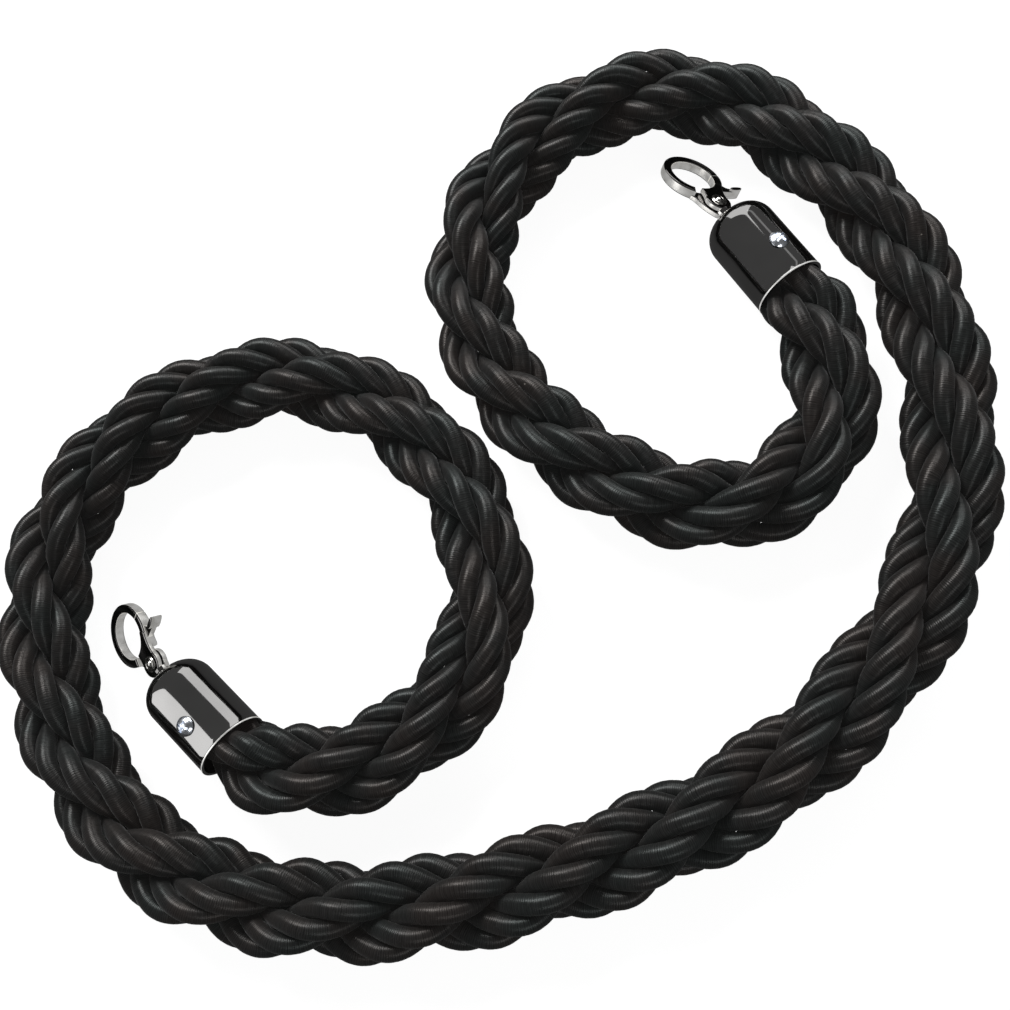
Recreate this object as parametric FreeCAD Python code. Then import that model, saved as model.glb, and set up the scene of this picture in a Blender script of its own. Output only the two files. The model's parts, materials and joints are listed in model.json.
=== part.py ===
import FreeCAD, Part
import math
import os

from FreeCAD import Matrix, Vector

# Twisted barrier rope: three laid strands, a metal cap screwed on each end, and a swivelling
# two-jaw snap hook on each cap. Millimetres, +Z up, the rope lies on z = 0.
# The origin is the middle of the object's footprint.

# ---------------------------------------------------------------- rope dimensions
STRAND_ORBIT = 8.5       # radius of the helix that a strand's centre follows
STRAND_R = 8.1           # radius of one strand before its neighbours flatten it
STRANDS = "abc"          # one letter for each strand
STRAND_GAP = 0.35        # half the gap left between two strands
FLAT_BLEND = 1.1         # how softly a strand's round side runs into its flat ones
ROPE_PITCH = 105.0       # basic turn of a strand about the rope (left-handed, S lay)
ROPE_PHASE = 20.0        # angle of the first strand at the start of the rope, degrees
SECTIONS = 7             # rigid lengths that stand for the flexible rope
BEND_GAP = 3.4           # half the gap between two lengths, leaves room to bend 20 degrees
LIFT = -0.75             # added to the path's height so that the bulges touch the ground
IN_CAP = 25.0            # length of rope held inside a cap
PATH_IN_CAP = 28.0       # length of the path inside a cap
NECK = 0.655             # the rope is squeezed to this share of its size inside a cap
NECK_LEN = 17.0          # length over which it swells back to full size
NECK_LEAD = 0.2          # the swelling starts this far inside the mouth

RING_POLES = 24          # poles round a strand
RING_STEP = 3.4          # aimed distance between rings of poles along a strand
MIN_RING_STEPS = 8
STRAND_POLE_GROWTH = 1.012   # a spline runs inside its poles, so they are set further out

# ---------------------------------------------------------------- cap dimensions
CAP_R = 13.0             # outside radius
CAP_WALL = 1.0
CAP_LEN = 37.5
CAP_SHOULDER = 9.0       # outside radius of the rounded shoulder
CAP_HOLE_R = 2.9         # loose hole for the swivel pin
CAP_DIP = 3.0            # the cap's nose sags this much below level, degrees
LIP_LEN = 0.9            # rolled lip at the mouth
LIP_RISE = 0.12          # lip edges stand this far above the wall
LIP_CROWN = 0.3          # and the lip's middle this far
LIP_END = 1.4            # the lip has run out into the wall here
COLLAR_R = 4.3
COLLAR_H = 0.7
COLLAR_GAP = 0.01        # between the nose and the collar
BINDING_R = (11.5, 11.92)
BINDING_FROM = 7.0       # distance of the binding's near end from the mouth

SCREW_AT = 13.0          # screw position from the mouth
SCREW_R = 1.7            # over the ridges
SCREW_CORE_R = SCREW_R * 0.8
SCREW_HOLE_R = 1.9
SCREW_HOLE_LEN = 6.0     # length of the cylinder that cuts a screw hole
SCREW_HEAD_R = 3.5
SCREW_HEAD_H = 2.0
SCREW_HEAD_RIM = 0.35    # straight rim under the dome
SCREW_SEAT = 0.02        # gap under the head
RIDGE_FIRST = -1.6       # plain shank down to here
RIDGE_LAST = -7.6
RIDGE_PITCH = 1.2
RIDGE_HALF = 0.35        # half the width of a ridge
SCREW_POINT = 2.0        # length of the point
CROSS_REACH = 2.2        # half the span of the cross recess
CROSS_WIDTH = 0.95
CROSS_DEPTH = 1.25
CROSS_TURN = 20          # degrees

# ---------------------------------------------------------------- hook dimensions
PIVOT_OUT = 7.8          # gate pivot beyond the cap's nose
RING_AT = 16.5           # ring centre beyond the pivot
RING_IN = 8.8            # ring, inside radius
RING_OUT = 12.0          # ring, outside radius
RING_T = 2.0             # half the ring's thickness
SPLIT = (95.3, 96.7)     # the jaw tips meet here, degrees about the ring centre
SEAM = -148.0            # the fixed jaw comes to full thickness here
SEAM_OVERLAP = 3.0       # degrees by which the web runs into the ring past the seam
GATE_END = 150.0         # rear end of the gate's arc
EYE_R = 5.1              # round eye of each jaw about the pivot
EYE_CLEAR = 0.35         # clearance round the fixed eye
LAP = 0.1                # half the gap between the two lapped jaws
FLAP = 2.2               # outer face of each lapped jaw
RECESS_R = 3.3           # spring recess in each eye
RECESS_FLOOR = 0.9       # its floor, from the lap plane
BODY_ROUND = 0.75        # edge roundings
GATE_ROUND = 0.7
PADDLE_ROUND = 0.7
TAB_T = 1.2              # half the thickness of the thumb tab
PADDLE_T = 2.3           # half the thickness of its wider end
TAB_END = 17.0           # y of the tab's free end
BOSS = (-6.2, -5.3)      # boss for the swivel pin, along the hook
BOSS_R = (2.5, 3.0)
PIN_R = 2.0
PIN_FIT = 0.01
PIN_BORE_FROM = BOSS[0] - 2.2
PIN_BORE_LEN = 3.0
PIN_END = BOSS[1] - 0.2
PIN_HEAD_R = 3.6
PIN_HEAD_BEVEL = 0.5
WASHER_R = 4.6
WASHER_CLEAR = 0.15
RIVET_R = 1.5
RIVET_HOLE_R = 1.56
RIVET_SEAT = FLAP + 0.03     # underside of each rivet head
SPRING_MEAN_R = 2.45
SPRING_WIRE_R = 0.3
SPRING_PITCH = 0.68
SPRING_TURNS = 1.6
SPRING_RINGS = 20        # rings of poles in one turn
WIRE_POLES = 12          # poles round the wire
WIRE_POLE_GROWTH = 1.06  # as for the strands
THROUGH = 5.0            # half the height of tools that cut right through
OVERCUT = 0.01

# The rope's centre line: (x, y, z) poles of a uniform cubic B-spline, from inside cap 1 to
# inside cap 2.
PATH = [
    (-119.5, -65.1, 14.9), (-102.5, -81.7, 16.4), (-84.6, -97.9, 17.5), (-63.5, -108.9, 17.9),
    (-39.2, -106.7, 17.6), (-17.1, -95.1, 17.5), (-0.9, -77.4, 17.5), (6.9, -54.9, 17.5),
    (5.9, -30.7, 17.5), (-3.3, -8.3, 17.5), (-18.4, 10.7, 17.5), (-37.2, 25.9, 17.5),
    (-59.0, 35.4, 17.5), (-82.5, 37.5, 17.5), (-105.7, 32.8, 17.5), (-126.7, 21.8, 17.5),
    (-144.3, 5.6, 17.5), (-156.7, -14.8, 17.5), (-161.9, -38.0, 17.5), (-159.9, -61.7, 17.5),
    (-152.3, -84.2, 17.5), (-140.4, -104.9, 17.5), (-125.2, -123.3, 17.5), (-106.2, -137.8, 17.5),
    (-84.1, -146.8, 17.5), (-60.5, -151.1, 17.5), (-36.6, -151.7, 17.5), (-12.9, -149.0, 17.5),
    (10.3, -143.6, 17.5), (33.0, -136.3, 17.5), (55.2, -127.7, 17.5), (76.9, -117.7, 17.5),
    (97.4, -105.5, 17.5), (115.9, -90.4, 17.5), (132.0, -72.8, 17.5), (146.0, -53.3, 17.5),
    (156.5, -31.9, 17.5), (161.7, -8.6, 17.5), (162.6, 15.4, 17.5), (160.5, 39.1, 17.5),
    (155.8, 62.5, 17.5), (147.5, 84.9, 17.5), (135.1, 105.0, 17.5), (119.5, 123.2, 17.5),
    (101.8, 139.1, 17.5), (80.7, 150.2, 17.5), (56.8, 152.8, 17.5), (33.6, 146.2, 17.5),
    (14.3, 131.6, 17.5), (0.2, 112.0, 17.5), (-7.8, 89.5, 17.5), (-7.3, 65.5, 17.5),
    (1.0, 42.6, 17.5), (15.1, 22.9, 17.5), (33.1, 7.0, 17.5), (53.3, -6.0, 17.5),
    (75.8, -14.3, 17.5), (99.7, -12.3, 17.5), (119.0, 2.8, 17.5), (126.2, 26.3, 17.6),
    (121.2, 50.3, 17.9), (108.9, 70.9, 17.5), (94.9, 90.2, 16.4), (81.1, 109.4, 14.9),
]

# The lay opens and closes a little along the rope, as it is turned by hand: pairs of arc length
# and how far the strands have slipped along it from the basic lay.
LAY = [
    (0, 20), (40, 19.5), (92, 16.4), (144, 8.1), (196, 1.9), (248, -2.5),
    (300, -8.4), (352, -13), (404, -13.2), (456, -13), (508, -13.3), (560, -14),
    (612, -18.3), (664, -24.2), (716, -29.9), (768, -39), (820, -49.9), (872, -60.4),
    (924, -68.7), (976, -74.5), (1028, -80.7), (1080, -88.5), (1132, -97.5), (1184, -99.4),
    (1236, -94.2), (1288, -90.3), (1340, -87), (1450, -83),
]

# Each end: centre of the cap's mouth, level direction from mouth to nose, extra sag of the
# loose hook in degrees, rough normal of the ring's plane on the gate side, and how far the
# screw leans from the top of the cap in degrees, positive to the right when looking outwards.
ENDS = {
    1: dict(mouth=(-80.89, -99.72, 17.15), out=(-0.77167, 0.63603), sag=9.5,
            normal=(-0.6734, -0.1946, 0.7134), screw_lean=-17.0),
    2: dict(mouth=(111.02, 67.27, 17.15), out=(-0.57030, 0.82144), sag=7.0,
            normal=(0.3635, 0.5261, 0.7692), screw_lean=17.0),
}

X_AXIS, Y_AXIS, Z_AXIS = Vector(1, 0, 0), Vector(0, 1, 0), Vector(0, 0, 1)
ORIGIN = Vector(0, 0, 0)


def save(name, shape):
    """Writes one piece; a boolean result is unpacked into its solids first."""
    if shape.ShapeType != "Solid":
        shape = shape.removeSplitter()
    solids = shape.Solids
    piece = solids[0] if len(solids) == 1 else Part.makeCompound(solids)
    piece.exportStep("parts/" + name + ".step")


# ---------------------------------------------------------------- the centre line
def path_at(u):
    """Point and derivative of the centre line at spline parameter u."""
    i = max(0, min(int(math.floor(u)), len(PATH) - 4))
    t = u - i
    weights = ((1 - t) ** 3 / 6, (3 * t ** 3 - 6 * t ** 2 + 4) / 6,
               (-3 * t ** 3 + 3 * t ** 2 + 3 * t + 1) / 6, t ** 3 / 6)
    slopes = (-(1 - t) ** 2 / 2, (3 * t ** 2 - 4 * t) / 2,
              (-3 * t ** 2 + 2 * t + 1) / 2, t ** 2 / 2)

    def blend(factors):
        return Vector(*[sum(factors[k] * PATH[i + k][axis] for k in range(4))
                        for axis in range(3)])
    return blend(weights), blend(slopes)


STEPS = 40               # steps per span of the spline in the arc length table


def arc_lengths():
    """Arc length from the start of the path to each step."""
    table = [0.0]
    last = path_at(0)[0]
    for n in range(1, (len(PATH) - 3) * STEPS + 1):
        point = path_at(n / STEPS)[0]
        table.append(table[-1] + (point - last).Length)
        last = point
    return table


ARC = arc_lengths()
LENGTH = ARC[-1]


def frame_at(s):
    """Point, left and up of the centre line at arc length s."""
    s = max(0.0, min(s, LENGTH))
    low, high = 0, len(ARC) - 1
    while high - low > 1:
        middle = (low + high) // 2
        if ARC[middle] <= s:
            low = middle
        else:
            high = middle
    u = (low + (s - ARC[low]) / max(ARC[high] - ARC[low], 1e-9)) / STEPS
    point, tangent = path_at(u)
    tangent.normalize()
    up = Z_AXIS - tangent * tangent.z
    up.normalize()
    return point + Vector(0, 0, LIFT), up.cross(tangent), up


def neck(s):
    """Share of full size at arc length s: squeezed inside the caps."""
    past_mouth = min(s, LENGTH - s) - PATH_IN_CAP
    t = max(0.0, min(1.0, (past_mouth + NECK_LEAD) / NECK_LEN))
    return NECK + (1 - NECK) * t * t * (3 - 2 * t)


def slipped(s):
    """Arc length whose basic lay angle the strands have at arc length s: LAY is joined by
    cubics whose slopes come from the neighbouring stations."""
    i = 0
    while i < len(LAY) - 2 and LAY[i + 1][0] <= s:
        i += 1

    def slope(k):
        before, after = LAY[max(k - 1, 0)], LAY[min(k + 1, len(LAY) - 1)]
        return (after[1] - before[1]) / (after[0] - before[0])
    (s0, slip0), (s1, slip1) = LAY[i], LAY[i + 1]
    span = s1 - s0
    t = max(0.0, min(1.0, (s - s0) / span))
    return s + (slip0 * (1 + 2 * t) * (1 - t) ** 2 + slope(i) * span * t * (1 - t) ** 2
                + slip1 * t * t * (3 - 2 * t) + slope(i + 1) * span * t * t * (t - 1))


# ---------------------------------------------------------------- strands
def strand_ring(s, strand_no):
    """Outline of a strand across the rope at arc length s: a circle flattened where it meets
    its two neighbours, each of which fills a third of the rope."""
    point, left, up = frame_at(s)
    size = neck(s)
    turn = (math.radians(ROPE_PHASE) + 2 * math.pi * strand_no / len(STRANDS)
            - 2 * math.pi * slipped(s) / ROPE_PITCH)
    half_share = math.pi / len(STRANDS)
    radius = STRAND_R * STRAND_POLE_GROWTH
    ring = []
    for i in range(RING_POLES):
        angle = math.pi + 2 * math.pi * i / RING_POLES
        x = STRAND_ORBIT + radius * math.cos(angle)
        y = radius * math.sin(angle)
        for side in (1, -1):
            normal_x, normal_y = math.sin(half_share), -side * math.cos(half_share)
            depth = x * normal_x + y * normal_y - STRAND_GAP
            push = (depth + math.sqrt(depth * depth + FLAT_BLEND ** 2)) / 2 - depth
            x, y = x + push * normal_x, y + push * normal_y
        x, y = x * size, y * size
        ring.append(point + left * (x * math.cos(turn) - y * math.sin(turn))
                    + up * (x * math.sin(turn) + y * math.cos(turn)))
    return ring


def skin(rings):
    """Closed solid on a row of equal rings of poles, with a flat end on each side."""
    count, rows = len(rings[0]), len(rings)
    poles = [[rings[r][c] for r in range(rows)] for c in range(count)]
    surface = Part.BSplineSurface()
    surface.buildFromPolesMultsKnots(
        poles, [1] * (count + 1), [4] + [1] * (rows - 4) + [4],
        [float(i) for i in range(count + 1)], [float(i) for i in range(rows - 2)],
        True, False, 3, 3)
    side = surface.toShape()
    rims = []
    for edge in side.Edges:
        if edge.isClosed() and not any(rim.isSame(edge) for rim in rims):
            rims.append(edge)
    shell = Part.Shell([side] + [Part.Face(Part.Wire([rim])) for rim in rims])
    shell.sewShape()
    solid = Part.Solid(shell)
    if solid.Volume < 0:
        solid.reverse()
    return solid


def strand(s0, s1, strand_no):
    """One strand between two arc lengths, with flat ends across the rope."""
    n = max(MIN_RING_STEPS, int(round((s1 - s0) / RING_STEP)))
    return skin([strand_ring(s0 + (s1 - s0) * i / n, strand_no) for i in range(n + 1)])


def save_rope():
    """The rope between its two cut ends, as rigid lengths of equal share between the caps."""
    mouth1, mouth2 = PATH_IN_CAP, LENGTH - PATH_IN_CAP
    cuts = [mouth1 + (mouth2 - mouth1) * i / SECTIONS for i in range(1, SECTIONS)]
    starts = [mouth1 - IN_CAP] + [cut + BEND_GAP for cut in cuts]
    stops = [cut - BEND_GAP for cut in cuts] + [mouth2 + IN_CAP]
    for n in range(SECTIONS):
        for strand_no, letter in enumerate(STRANDS):
            save("rope_strand_%s_%d" % (letter, n + 1), strand(starts[n], stops[n], strand_no))


# ---------------------------------------------------------------- helpers for the metal parts
def place(shape, origin, x, y, z):
    """Copy of shape with its local axes laid on x, y, z at origin."""
    placed = shape.copy()
    placed.transformShape(Matrix(x.x, y.x, z.x, origin.x, x.y, y.y, z.y, origin.y,
                                 x.z, y.z, z.z, origin.z, 0, 0, 0, 1))
    return placed


def turned(outline, bends=None):
    """Solid of revolution about local X of a closed outline of (x, radius) points. An entry
    i: (x, radius) of bends curves the side that leaves point i through that middle point."""
    bends = bends or {}
    points = [Vector(x, radius, 0) for x, radius in outline]
    edges = []
    for i, start in enumerate(points):
        stop = points[(i + 1) % len(points)]
        if i in bends:
            edges.append(Part.Arc(start, Vector(*bends[i], 0), stop).toShape())
        else:
            edges.append(Part.makeLine(start, stop))
    return Part.Face(Part.Wire(edges)).revolve(ORIGIN, X_AXIS, 360)


def ring_point(radius, angle):
    """(x, y) at an angle in degrees about the centre of the hook's ring."""
    return (RING_AT + radius * math.cos(math.radians(angle)),
            radius * math.sin(math.radians(angle)))


def ring_arc(a0, a1):
    """Full-thickness piece of the hook's ring from a0 to a1 degrees."""
    def corner(radius, angle):
        return Vector(*ring_point(radius, angle), -RING_T)
    middle = (a0 + a1) / 2
    edges = [
        Part.Arc(corner(RING_OUT, a0), corner(RING_OUT, middle), corner(RING_OUT, a1)).toShape(),
        Part.makeLine(corner(RING_OUT, a1), corner(RING_IN, a1)),
        Part.Arc(corner(RING_IN, a1), corner(RING_IN, middle), corner(RING_IN, a0)).toShape(),
        Part.makeLine(corner(RING_IN, a0), corner(RING_OUT, a0)),
    ]
    return Part.Face(Part.Wire(edges)).extrude(Vector(0, 0, 2 * RING_T))


def prism(outline, z0, z1):
    points = [Vector(x, y, z0) for x, y in outline]
    return Part.Face(Part.makePolygon(points + [points[0]])).extrude(Vector(0, 0, z1 - z0))


def disc(x, radius, z0, z1):
    return Part.makeCylinder(radius, z1 - z0, Vector(x, 0, z0))


def soften(shape, radius, pick):
    """Rounds the picked edges, trying smaller radii if the first is too big."""
    edges = [edge for edge in shape.Edges if pick(edge)]
    for r in (radius, radius * 0.7, radius * 0.45):
        # makeFillet raises an error where a radius does not fit the edges
        try:
            rounded = shape.makeFillet(r, edges)
            if (rounded.isValid() and len(rounded.Solids) == len(shape.Solids)
                    and rounded.Volume > 0.6 * shape.Volume):
                return rounded
        except Exception:
            continue
    return shape


# ---------------------------------------------------------------- snap hook, local axes
# x runs out from the cap along the hook, y towards the thumb tab, z away from the gate's side.
# The gate's eye lies on the -z side of the fixed jaw's eye, and both turn on the rivet.
def on_ring_face(edge):
    return abs(abs(edge.CenterOfMass.z) - RING_T) < 0.05


def is_circular(edge):
    return edge.Curve.TypeId == "Part::GeomCircle"


def hook_body():
    """Fixed jaw: the long arc of the ring, the rear eye, and the boss for the swivel pin."""
    arm = ring_arc(SEAM, SPLIT[0])
    web = prism([ring_point(RING_IN, SEAM + SEAM_OVERLAP),
                 ring_point(RING_OUT, SEAM + SEAM_OVERLAP),
                 (1.0, -6.1), (-3.6, -4.3), (-5.9, -2.9), (-5.9, 2.9), (-3.0, 4.1),
                 (0.0, 5.0), (4.0, 3.1), (6.0, 0.8), (8.5, -2.0)], LAP, RING_T)
    web = web.fuse(disc(0, EYE_R, LAP, FLAP))
    web = web.cut(disc(RING_AT, RING_IN, -THROUGH, THROUGH))
    boss = Part.makeCone(*BOSS_R, BOSS[1] - BOSS[0], Vector(BOSS[0], 0, 0), X_AXIS)
    body = arm.fuse([web, boss]).removeSplitter()

    def long_ring_edge(edge):
        return (edge.Length > 9 and edge.Vertexes
                and all(math.hypot(v.X - RING_AT, v.Y) > RING_IN - 0.1 and v.X > 6.0
                        for v in edge.Vertexes)
                and on_ring_face(edge) and is_circular(edge))
    body = soften(body, BODY_ROUND, long_ring_edge)
    recess = disc(0, RECESS_R, LAP - OVERCUT, RECESS_FLOOR)
    bore = disc(0, RIVET_HOLE_R, -THROUGH, THROUGH)
    pin_bore = Part.makeCylinder(PIN_R + PIN_FIT, PIN_BORE_LEN, Vector(PIN_BORE_FROM, 0, 0),
                                 X_AXIS)
    return body.cut(recess).cut(bore).cut(pin_bore)


def hook_gate():
    """Moving jaw: the front eye, the short arc up to the split, and the thumb tab."""
    eye_space = disc(0, EYE_R + EYE_CLEAR, -THROUGH, THROUGH)
    arm = ring_arc(SPLIT[1], GATE_END).cut(eye_space)
    lever = prism([ring_point(RING_OUT, 125), (6.3, 7.1), (3.3, 5.6), (3.3, 4.6),
                   (5.2, 3.2), (9.5, 4.0), (12.0, 8.0)], -RING_T, RING_T)
    lever = lever.cut(eye_space)
    front = prism([ring_point(RING_OUT, 130), (6.3, 7.1), (3.3, 5.6), (0.0, 5.0),
                   (-1.0, 0.0), (2.0, -4.4), (5.6, -3.0), (8.1, -2.6), (9.5, 4.0),
                   (11.0, 8.0)], -FLAP, -LAP)
    front = front.fuse(disc(0, EYE_R, -FLAP, -LAP))
    tab = prism([(10.2, 9.9), (9.0, 9.2), (7.4, 8.0), (6.3, 7.1), (6.0, 9.0), (5.5, 12.0),
                 (5.3, TAB_END), (6.9, TAB_END), (7.3, 13.0), (8.3, 10.8)], -TAB_T, TAB_T)
    paddle = prism([(5.42, 11.6), (5.3, TAB_END), (6.9, TAB_END), (7.35, 11.6)],
                   -PADDLE_T, PADDLE_T)
    paddle = soften(paddle, PADDLE_ROUND, lambda edge: (
        abs(edge.CenterOfMass.y - TAB_END) < 0.01 and edge.Length < 3))
    gate = arm.fuse([lever, front, tab, paddle])
    gate = gate.cut(disc(RING_AT, RING_IN, -THROUGH, THROUGH)).removeSplitter()
    gate = soften(gate, GATE_ROUND, lambda edge: (
        is_circular(edge) and edge.Length > 3 and on_ring_face(edge)
        and math.hypot(edge.CenterOfMass.x, edge.CenterOfMass.y) > 13))
    recess = disc(0, RECESS_R, -RECESS_FLOOR, -LAP + OVERCUT)
    return gate.cut(recess).cut(disc(0, RIVET_HOLE_R, -THROUGH, THROUGH))


def gate_rivet():
    """Shank with a domed head on the gate's side and a flatter one behind."""
    rivet = turned([(-3.35, 0), (-3.05, 1.1), (-2.55, 1.55), (-2.75, 2.1), (-2.6, 2.7),
                    (-RIVET_SEAT, 3.0), (-RIVET_SEAT, RIVET_R), (RIVET_SEAT, RIVET_R),
                    (RIVET_SEAT, 2.6), (2.75, 2.2), (3.05, 1.2), (3.1, 0)],
                   bends={0: (-3.28, 0.65), 3: (-2.78, 2.4), 8: (2.6, 2.5)})
    rivet.rotate(ORIGIN, Y_AXIS, -90)     # local X to local Z
    return rivet


def gate_spring():
    """Torsion spring round the rivet, in the recess between the two eyes."""
    rise = SPRING_PITCH / (2 * math.pi)
    radius = SPRING_WIRE_R * WIRE_POLE_GROWTH
    rings = []
    for i in range(int(SPRING_TURNS * SPRING_RINGS) + 1):
        a = 2 * math.pi * i / SPRING_RINGS
        outward = Vector(math.cos(a), math.sin(a), 0)
        centre = outward * SPRING_MEAN_R
        centre.z = rise * a - SPRING_PITCH * SPRING_TURNS / 2
        along = Vector(-SPRING_MEAN_R * math.sin(a), SPRING_MEAN_R * math.cos(a), rise)
        along.normalize()
        across = along.cross(outward)
        angles = [2 * math.pi * k / WIRE_POLES for k in range(WIRE_POLES)]
        rings.append([centre + outward * (radius * math.cos(b)) + across * (radius * math.sin(b))
                      for b in angles])
    return skin(rings)


def swivel_pin():
    """Headed pin: the head sits inside the cap and the shank ends in the hook's boss."""
    nose = -PIVOT_OUT
    return turned([(nose - 4.1, 0), (nose - 4.1, PIN_HEAD_R - PIN_HEAD_BEVEL),
                   (nose - 3.6, PIN_HEAD_R), (nose - 2.9, PIN_HEAD_R), (nose - 2.9, PIN_R),
                   (PIN_END, PIN_R), (PIN_END, 0)])


def swivel_washer():
    """Washer on the shank, just in front of the pin's head."""
    rear, front = -PIVOT_OUT - 2.88, -PIVOT_OUT - 2.1
    hole = PIN_R + WASHER_CLEAR
    return turned([(rear, hole), (rear, WASHER_R), (front, WASHER_R), (front, hole)])


# ---------------------------------------------------------------- end cap, local axes
# x runs from the mouth (0) to the nose (CAP_LEN); the screw is on +y.
def screw_hole(y):
    """Cylinder that cuts the screw's hole, from height y outwards."""
    return Part.makeCylinder(SCREW_HOLE_R, SCREW_HOLE_LEN, Vector(SCREW_AT, y, 0), Y_AXIS)


def end_cap():
    """Drawn cup with a flat nose, a rounded shoulder and a rolled lip at the mouth."""
    bore = CAP_R - CAP_WALL
    bend_x, bend_r = CAP_LEN - CAP_SHOULDER, CAP_R - CAP_SHOULDER
    diagonal = math.cos(math.pi / 4)
    outer = CAP_SHOULDER * diagonal
    inner = (CAP_SHOULDER - CAP_WALL) * diagonal
    body = turned([(0.0, bore), (0.0, CAP_R + LIP_RISE), (LIP_LEN, CAP_R + LIP_RISE),
                   (LIP_END, CAP_R), (bend_x, CAP_R), (CAP_LEN, bend_r),
                   (CAP_LEN, CAP_HOLE_R), (CAP_LEN - CAP_WALL, CAP_HOLE_R),
                   (CAP_LEN - CAP_WALL, bend_r), (bend_x, bore)],
                  bends={1: (LIP_LEN / 2, CAP_R + LIP_CROWN),
                         4: (bend_x + outer, bend_r + outer),
                         8: (bend_x + inner, bend_r + inner)})
    return body.cut(screw_hole(CAP_R - 3))


def swivel_collar():
    """Small raised ring round the hole, on the outside of the nose."""
    x = CAP_LEN + COLLAR_GAP
    return turned([(x, CAP_HOLE_R), (x, COLLAR_R), (x + COLLAR_H / 2, COLLAR_R),
                   (x + COLLAR_H, COLLAR_R - 0.5), (x + COLLAR_H, CAP_HOLE_R)],
                  bends={2: (x + 0.6, COLLAR_R - 0.12)})


def cap_screw():
    """Self-tapping screw: domed head with a cross recess, ridged shank and a point."""
    head = turned([(0, 0), (0.0, SCREW_HEAD_R), (SCREW_HEAD_RIM, SCREW_HEAD_R),
                   (SCREW_HEAD_H, 0)], bends={2: (1.45, 2.3)})
    for angle in (0, 90):
        slot = Part.makeBox(2.0, 2 * CROSS_REACH, CROSS_WIDTH,
                            Vector(SCREW_HEAD_H - CROSS_DEPTH, -CROSS_REACH, -CROSS_WIDTH / 2))
        slot.rotate(ORIGIN, X_AXIS, angle + CROSS_TURN)
        head = head.cut(slot)
    x = RIDGE_FIRST
    outline = [(0.0, 0), (0.0, SCREW_CORE_R), (x, SCREW_CORE_R)]
    while x > RIDGE_LAST:
        outline += [(x - RIDGE_HALF, SCREW_R), (x - 2 * RIDGE_HALF, SCREW_CORE_R)]
        x -= RIDGE_PITCH
        outline.append((x, SCREW_CORE_R))
    outline.append((x - SCREW_POINT, 0))
    screw = head.fuse(turned(outline)).removeSplitter()
    screw.rotate(ORIGIN, Z_AXIS, 90)      # local X to local Y
    screw.translate(Vector(SCREW_AT, CAP_R + SCREW_SEAT, 0))
    return screw


def end_binding():
    """Tape wound round the cut rope end, inside the cap."""
    inside, outside = BINDING_R
    sleeve = turned([(BINDING_FROM, inside), (BINDING_FROM, outside),
                     (IN_CAP, outside), (IN_CAP, inside)])
    return sleeve.cut(screw_hole(CAP_R - 5))


# ---------------------------------------------------------------- the two ends
def drooping(level, degrees):
    """Level (x, y) direction tipped down by an angle."""
    angle = math.radians(degrees)
    return Vector(level[0] * math.cos(angle), level[1] * math.cos(angle), -math.sin(angle))


def save_end(number, end, cap_parts, hook_parts):
    """A cap at the rope's end and the hook that hangs from its nose."""
    out = drooping(end["out"], CAP_DIP)
    mouth = Vector(*end["mouth"])
    left = Z_AXIS.cross(out)
    left.normalize()
    top = out.cross(left)
    angle = math.radians(90.0 + end["screw_lean"])
    y = left * math.cos(angle) + top * math.sin(angle)
    for name, shape in cap_parts.items():
        save("%s_%d" % (name, number), place(shape, mouth, out, y, out.cross(y)))

    # the hook swings about the middle of the nose's wall and sags a little more than the cap
    x = drooping(end["out"], CAP_DIP + end["sag"])
    nose = mouth + out * (CAP_LEN - CAP_WALL / 2)
    pivot = nose + x * (PIVOT_OUT + CAP_WALL / 2)
    normal = Vector(*end["normal"])
    normal = normal - x * normal.dot(x)
    normal.normalize()
    z = normal * -1
    for name, shape in hook_parts.items():
        save("%s_%d" % (name, number), place(shape, pivot, x, z.cross(x), z))


os.makedirs("parts", exist_ok=True)
save_rope()
HOOK_PARTS = {make.__name__: make() for make in (
    hook_body, hook_gate, gate_rivet, gate_spring, swivel_pin, swivel_washer)}
CAP_PARTS = {make.__name__: make() for make in (
    end_cap, swivel_collar, cap_screw, end_binding)}
for end_number, end_data in ENDS.items():
    save_end(end_number, end_data, CAP_PARTS, HOOK_PARTS)
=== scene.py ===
import json
import math

import bmesh
import bpy
import numpy as np
from mathutils import Matrix, Vector

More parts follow.
